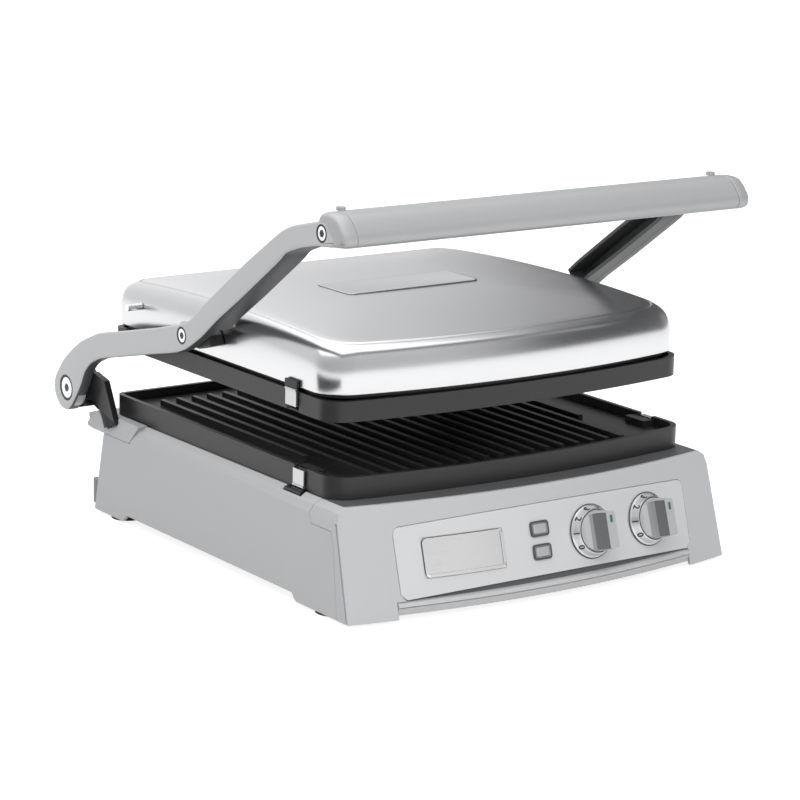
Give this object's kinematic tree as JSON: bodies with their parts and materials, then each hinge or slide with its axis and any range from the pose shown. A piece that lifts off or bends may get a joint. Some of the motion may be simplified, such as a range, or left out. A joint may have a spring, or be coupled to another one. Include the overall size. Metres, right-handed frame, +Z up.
{
  "type": "electric indoor grill with lid",
  "caption": "Electric contact grill with a floating brushed-steel lid raised on two arms, ribbed black plates, front dials and a rear drip tray",
  "frame": {"origin": "middle of the object's footprint at counter level", "axes": "+X right as seen from the knobs, -Y front, +Z up"},
  "size_m": [0.393, 0.4741, 0.3161],
  "materials": {
    "grey_plastic": "light grey moulded plastic with a fine satin grain",
    "panel_plastic": "pale silver-grey painted plastic, satin",
    "dark_plastic": "black heat-resistant moulded plastic, satin",
    "deck_plastic": "dark grey moulded plastic, satin",
    "badge_metal": "brushed bright metal, blank",
    "dial_silver": "silver-painted ring with dark printed numerals",
    "knob_grey": "silver-grey painted plastic knob",
    "mark_green": "dark green index mark",
    "button_silver": "silver push-button cap",
    "nonstick": "cast aluminium under black non-stick coating, satin",
    "reflector_alu": "plain rolled aluminium",
    "element_steel": "heat-tinted steel sheath",
    "board_green": "green circuit board with switches",
    "ceramic": "off-white moulded insulator",
    "foot_rubber": "black rubber",
    "tray_plastic": "dark grey moulded plastic",
    "clip_chrome": "bright plated steel",
    "screw_chrome": "bright plated steel with a dark socket",
    "arm_metal": "die-cast arm, silver satin paint",
    "grip_metal": "silver satin paint",
    "lid_steel": "bright brushed stainless steel"
  },
  "bodies": {
    "base": {"side_panel_left": "grey_plastic", "side_panel_right": "grey_plastic", "front_bezel": "grey_plastic", "front_lip": "grey_plastic", "control_panel": "panel_plastic", "badge_plate": "badge_metal", "button_bezels": "deck_plastic", "dial_ring_lower": "dial_silver", "dial_ring_upper": "dial_silver", "base_deck": "deck_plastic", "bottom_cover": "deck_plastic", "rear_panel": "grey_plastic", "cord_gland": "dark_plastic", "hinge_cover_left": "grey_plastic", "hinge_cover_right": "grey_plastic", "hinge_tower_left": "dark_plastic", "hinge_tower_right": "dark_plastic", "rubber_feet": "foot_rubber", "lower_plate": "nonstick", "lower_element": "element_steel", "lower_reflector": "reflector_alu", "control_board": "board_green", "thermostats": "ceramic", "terminal_block": "ceramic"},
    "knob_lower_body": {"knob_lower": "knob_grey", "knob_mark_lower": "mark_green"},
    "knob_upper_body": {"knob_upper": "knob_grey", "knob_mark_upper": "mark_green"},
    "sear_upper_body": {"sear_button_upper": "button_silver"},
    "sear_lower_body": {"sear_button_lower": "button_silver"},
    "drip_tray_body": {"drip_tray": "tray_plastic"},
    "clip_low_left": {"clip_low_left_hook": "clip_chrome", "clip_low_left_thumb": "dark_plastic"},
    "clip_low_right": {"clip_low_right_hook": "clip_chrome", "clip_low_right_thumb": "dark_plastic"},
    "hinge_shaft": {"hinge_pins": "screw_chrome"},
    "arms": {"arm_left": "arm_metal", "arm_right": "arm_metal", "grip_bar": "grip_metal", "grip_end_left": "grip_metal", "grip_end_right": "grip_metal", "grip_bumpers": "grip_metal", "grip_screws": "screw_chrome"},
    "pivot_links": {"pivot_screws": "screw_chrome"},
    "lid": {"lid_shell": "lid_steel", "lid_frame": "dark_plastic", "upper_plate": "nonstick", "upper_reflector": "reflector_alu", "upper_element": "element_steel", "pivot_boss_left": "dark_plastic", "pivot_boss_right": "dark_plastic", "stop_pins": "clip_chrome", "lid_hooks": "clip_chrome"},
    "clip_up_left": {"clip_up_left_hook": "clip_chrome", "clip_up_left_thumb": "dark_plastic"},
    "clip_up_right": {"clip_up_right_hook": "clip_chrome", "clip_up_right_thumb": "dark_plastic"}
  },
  "joints": [
    {"name": "open", "type": "hinge", "parent": "base", "child": "hinge_shaft", "pos_m": [0, 0.2169, 0.1042], "axis": [-1, 0, 0], "range_deg": [0, 164]},
    {"name": "close", "type": "hinge", "parent": "hinge_shaft", "child": "arms", "pos_m": [0, 0.2169, 0.1042], "axis": [-1, 0, 0], "range_deg": [-11.6, 0]},
    {"name": "lid_tilt", "type": "hinge", "parent": "arms", "child": "pivot_links", "pos_m": [0, 0.0273, 0.1848], "axis": [-1, 0, 0], "range_deg": [0, 16]},
    {"name": "lid_level", "type": "hinge", "parent": "pivot_links", "child": "lid", "pos_m": [0, 0.0273, 0.1848], "axis": [-1, 0, 0], "range_deg": [0, 11.6]},
    {"name": "lower_heat_knob", "type": "hinge", "parent": "base", "child": "knob_lower_body", "pos_m": [0.03905, -0.20628, 0.04668], "axis": [-0.047, 0.9601, -0.2758], "range_deg": [0, 270]},
    {"name": "upper_heat_knob", "type": "hinge", "parent": "base", "child": "knob_upper_body", "pos_m": [0.10112, -0.20081, 0.04668], "axis": [-0.1216, 0.9535, -0.2758], "range_deg": [0, 270]},
    {"name": "upper_sear_button", "type": "slide", "parent": "base", "child": "sear_upper_body", "axis": [0.0143, 0.9611, -0.2758], "range_m": [0, 0.0015], "stiffness_N_per_m": 400},
    {"name": "lower_sear_button", "type": "slide", "parent": "base", "child": "sear_lower_body", "axis": [0.0142, 0.9611, -0.2758], "range_m": [0, 0.0015], "stiffness_N_per_m": 400},
    {"name": "drip_tray_slide", "type": "slide", "parent": "base", "child": "drip_tray_body", "axis": [0, 1, 0], "range_m": [0, 0.12]},
    {"name": "low_left_clip", "type": "hinge", "parent": "base", "child": "clip_low_left", "pos_m": [-0.1741, -0.111, 0.0906], "axis": [0, -1, 0], "range_deg": [0, 15], "stiffness_Nm_per_rad": 0.05},
    {"name": "low_right_clip", "type": "hinge", "parent": "base", "child": "clip_low_right", "pos_m": [0.1741, -0.111, 0.0906], "axis": [0, 1, 0], "range_deg": [0, 15], "stiffness_Nm_per_rad": 0.05},
    {"name": "up_left_clip", "type": "hinge", "parent": "lid", "child": "clip_up_left", "pos_m": [-0.1741, -0.099, 0.1643], "axis": [0, 1, 0], "range_deg": [0, 15], "stiffness_Nm_per_rad": 0.05},
    {"name": "up_right_clip", "type": "hinge", "parent": "lid", "child": "clip_up_right", "pos_m": [0.1741, -0.099, 0.1643], "axis": [0, -1, 0], "range_deg": [0, 15], "stiffness_Nm_per_rad": 0.05}
  ],
  "couplings": [
    {"joint": "lid_tilt", "follows": "open", "ratio": 0.09756},
    {"joint": "lid_level", "follows": "close", "ratio": -1}
  ]
}
